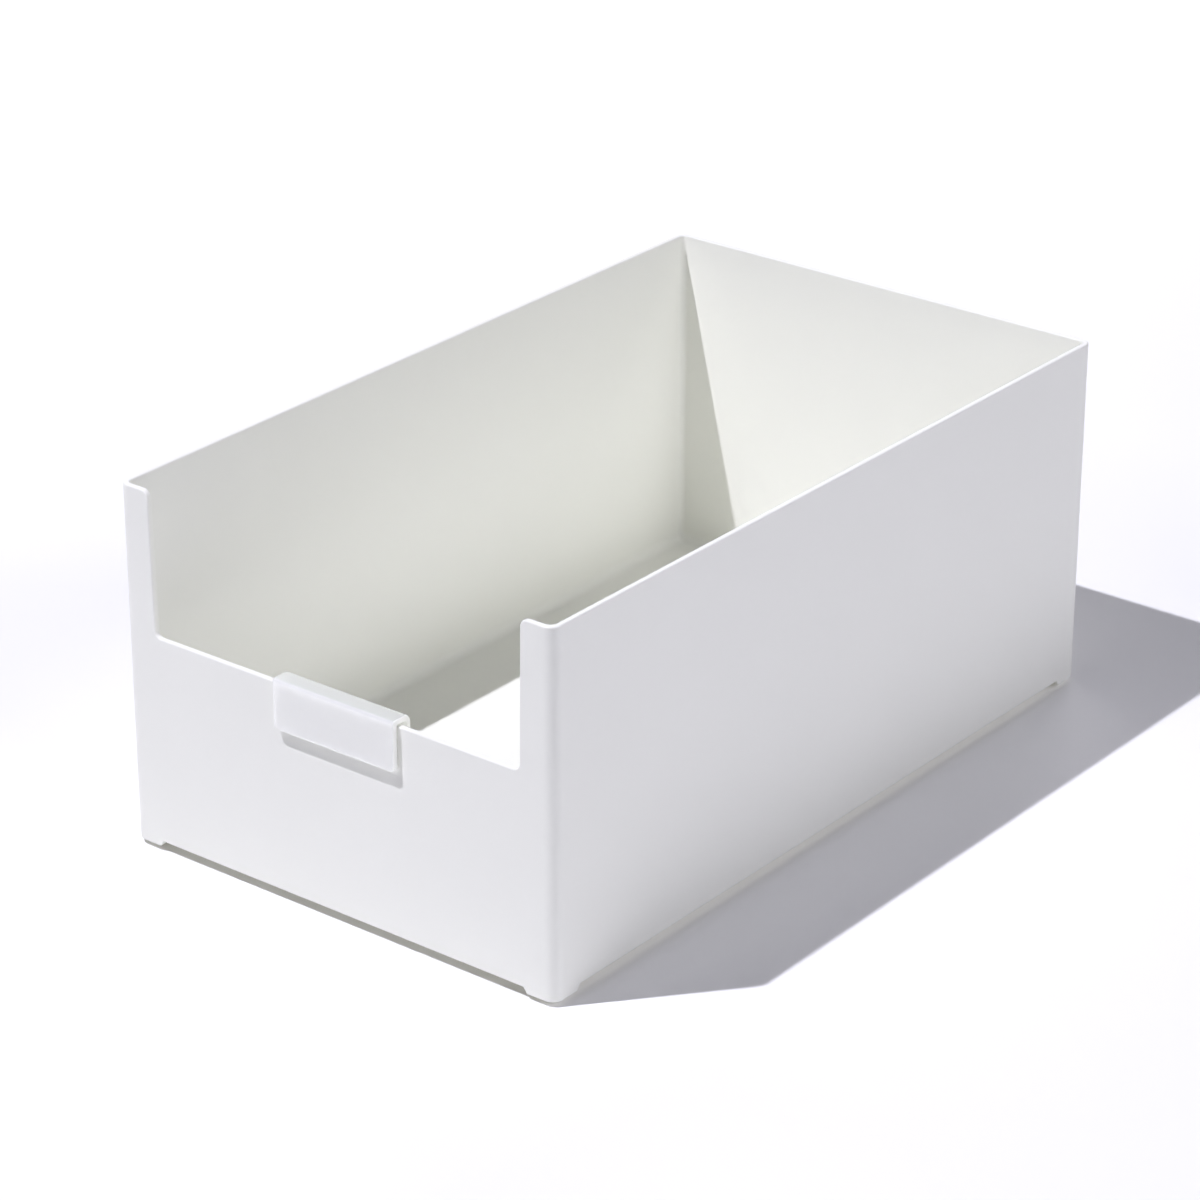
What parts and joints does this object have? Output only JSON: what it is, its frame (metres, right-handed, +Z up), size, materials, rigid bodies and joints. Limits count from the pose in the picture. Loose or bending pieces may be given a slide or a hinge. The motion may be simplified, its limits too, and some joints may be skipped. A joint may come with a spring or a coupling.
{
  "type": "modular storage box",
  "caption": "White open-front stackable storage box with a low front lip, raised corner feet with stacking lugs, and a frosted label clip that hooks over the lip.",
  "frame": {"origin": "on the ground, under the middle of the box and its clip", "axes": "+Z up, +Y from the open front to the back wall, +X to the right as seen from the front"},
  "size_m": [0.15, 0.252, 0.1091],
  "materials": {
    "box_body": "satin moulded white polypropylene",
    "label_clip": "frosted translucent polypropylene, fine matt surface"
  },
  "bodies": {
    "box": {"box_body": "box_body"},
    "clip": {"label_clip": "label_clip"}
  },
  "joints": [
    {"name": "clip_lift", "type": "slide", "parent": "box", "child": "clip", "axis": [0, 0, 1], "range_m": [0, 0.016]}
  ]
}
